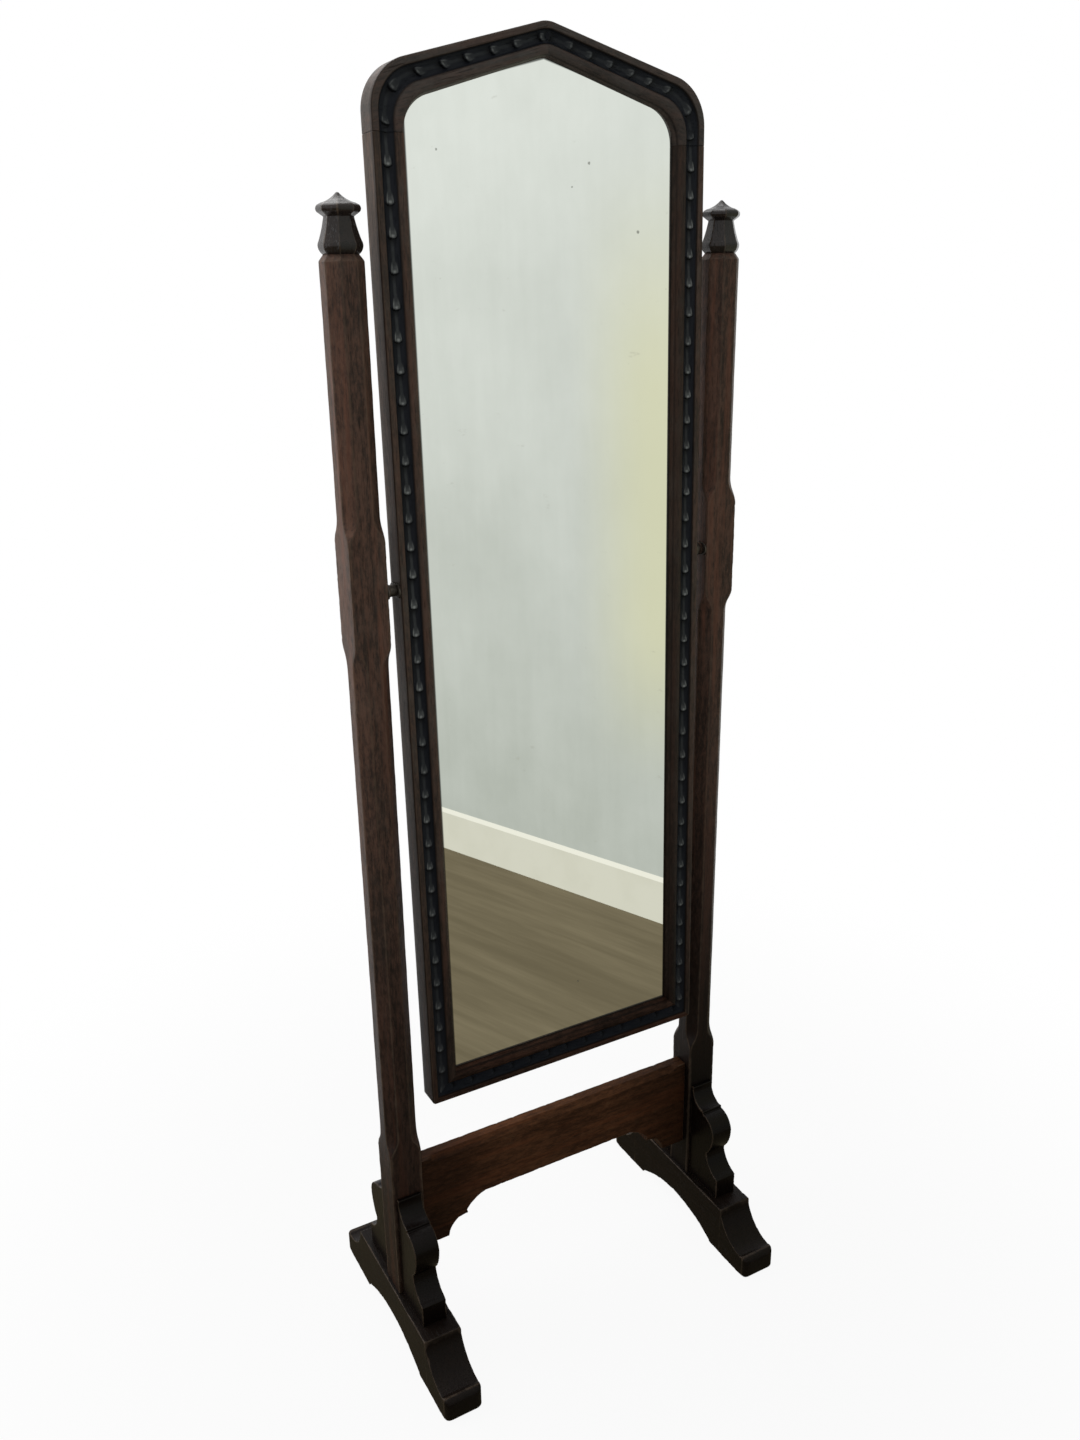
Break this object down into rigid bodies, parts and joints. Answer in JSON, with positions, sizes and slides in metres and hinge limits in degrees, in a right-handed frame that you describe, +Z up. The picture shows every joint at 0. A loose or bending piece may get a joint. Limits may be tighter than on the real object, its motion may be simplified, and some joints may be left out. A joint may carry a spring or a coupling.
{
  "type": "cheval mirror",
  "caption": "Full-length tilting mirror in a peaked, fluted wooden frame, hung between octagonal posts on scooped sledge feet joined by a shaped stretcher.",
  "frame": {"origin": "on the floor, midway between the two feet", "axes": "+X to the right as one faces the glass, +Y from the glass to the back, +Z up"},
  "size_m": [0.5426, 0.361, 1.6654],
  "materials": {
    "dark_oak": "dark stained and waxed, ebonised hollow, worn arrises",
    "softwood": "bare",
    "plywood": "thin brown stain",
    "beech": "bare",
    "silvered_glass": "old silvered plate with light foxing",
    "steel": "dulled, brown with age",
    "leather": "dark, oiled"
  },
  "bodies": {
    "stand": {"left_foot": "dark_oak", "right_foot": "dark_oak", "left_post": "dark_oak", "right_post": "dark_oak", "left_finial": "dark_oak", "right_finial": "dark_oak", "finial_dowels": "beech", "left_front_bracket": "dark_oak", "left_rear_bracket": "dark_oak", "right_front_bracket": "dark_oak", "right_rear_bracket": "dark_oak", "bracket_dowels": "beech", "stretcher_rail": "dark_oak", "post_plates": "steel", "post_plate_screws": "steel"},
    "mirror": {"left_stile": "dark_oak", "right_stile": "dark_oak", "left_head_rail": "dark_oak", "right_head_rail": "dark_oak", "bottom_rail": "dark_oak", "frame_dowels": "beech", "mirror_glass": "silvered_glass", "backboard": "plywood", "glass_blocks": "softwood", "backboard_screws": "steel", "frame_plates": "steel", "frame_plate_screws": "steel", "pivot_studs": "steel", "friction_washers": "leather"}
  },
  "joints": [
    {"name": "mirror_tilt", "type": "hinge", "parent": "stand", "child": "mirror", "pos_m": [0, -0.008, 1.0733], "axis": [1, 0, 0], "continuous": true}
  ]
}
